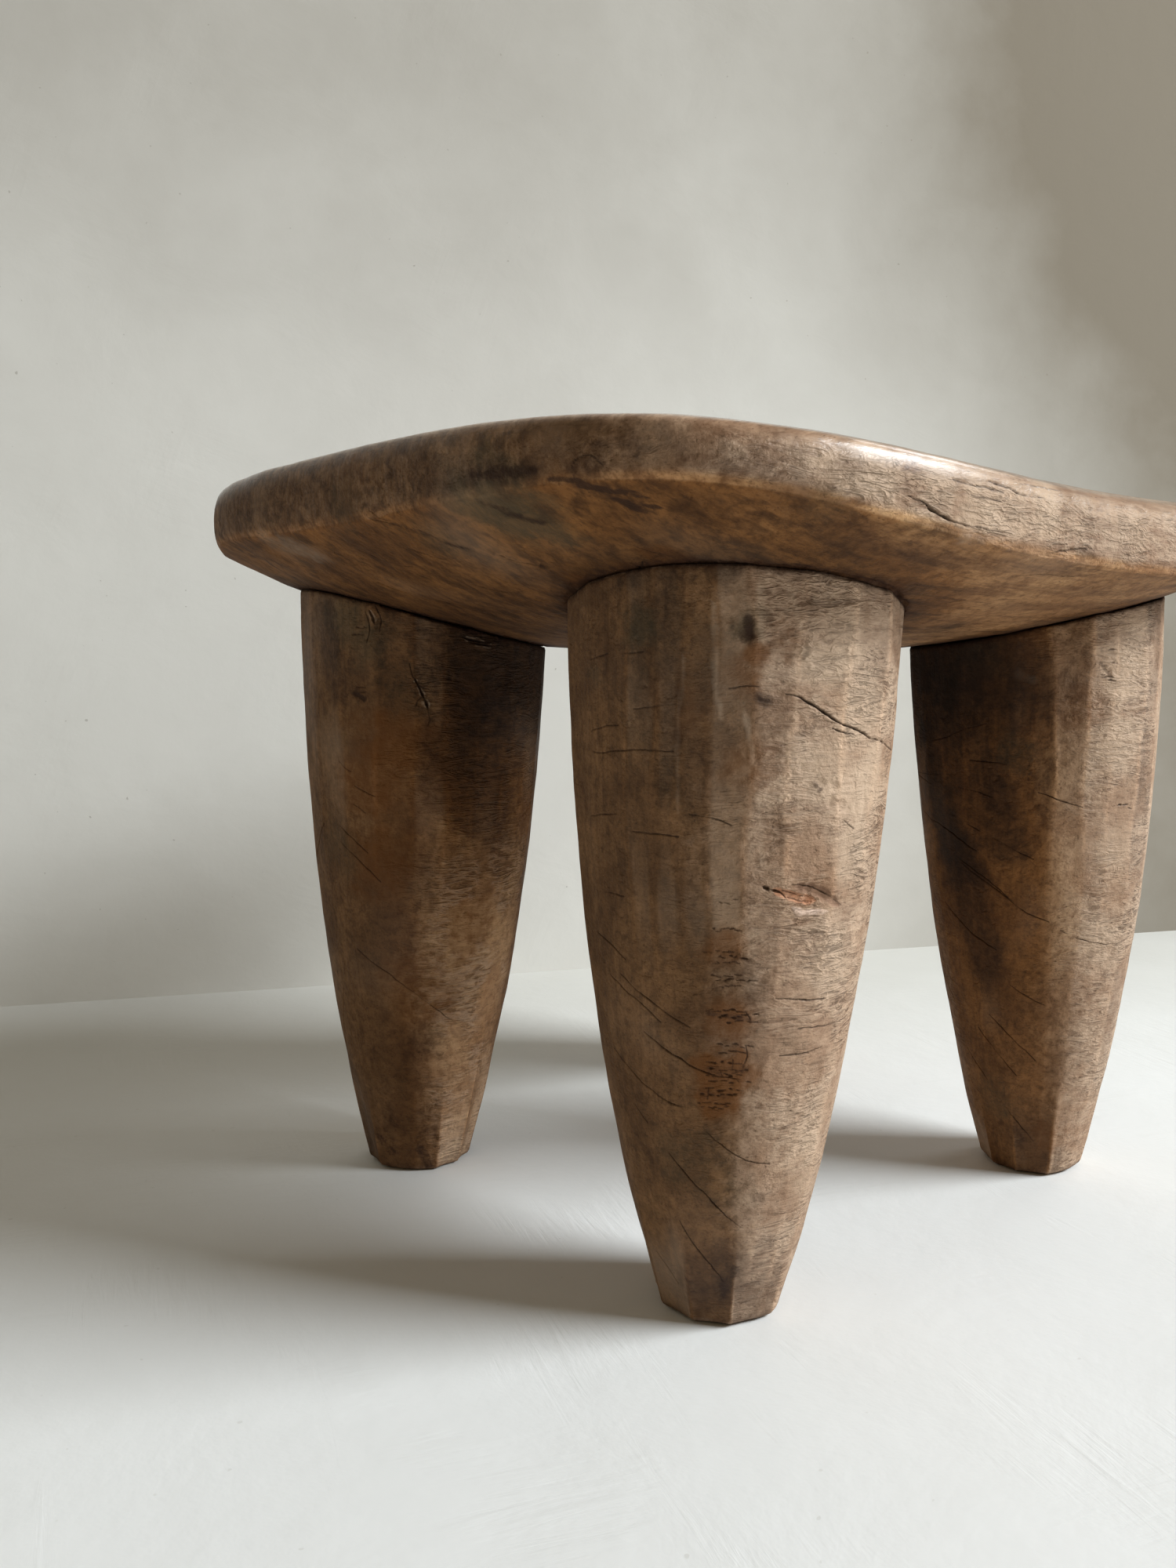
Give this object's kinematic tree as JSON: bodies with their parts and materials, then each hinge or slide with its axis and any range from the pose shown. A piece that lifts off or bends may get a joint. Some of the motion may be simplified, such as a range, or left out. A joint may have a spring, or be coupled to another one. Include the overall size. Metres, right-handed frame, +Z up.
{
  "type": "carved wooden stool",
  "caption": "Low hand-carved wooden stool: a dished seat with bowed sides, a rounded rim and a bellied underside on stout faceted legs that taper to small blunt feet.",
  "frame": {"origin": "on the floor, under the middle of the seat", "axes": "+Z up; X along the seat's longer way; Y across it, with the front side at -Y, so that the leg nearest in the picture is the front left one at -X, -Y"},
  "size_m": [0.374, 0.336, 0.285],
  "materials": {
    "seat_wood": "aged hardwood, worn to a soft sheen on the rim and the top",
    "leg_wood": "aged hardwood, dry and matt, with adze facets and drying cracks"
  },
  "bodies": {
    "root": {"seat": "seat_wood", "leg_front_left": "leg_wood", "leg_front_right": "leg_wood", "leg_back_left": "leg_wood", "leg_back_right": "leg_wood"}
  },
  "joints": []
}
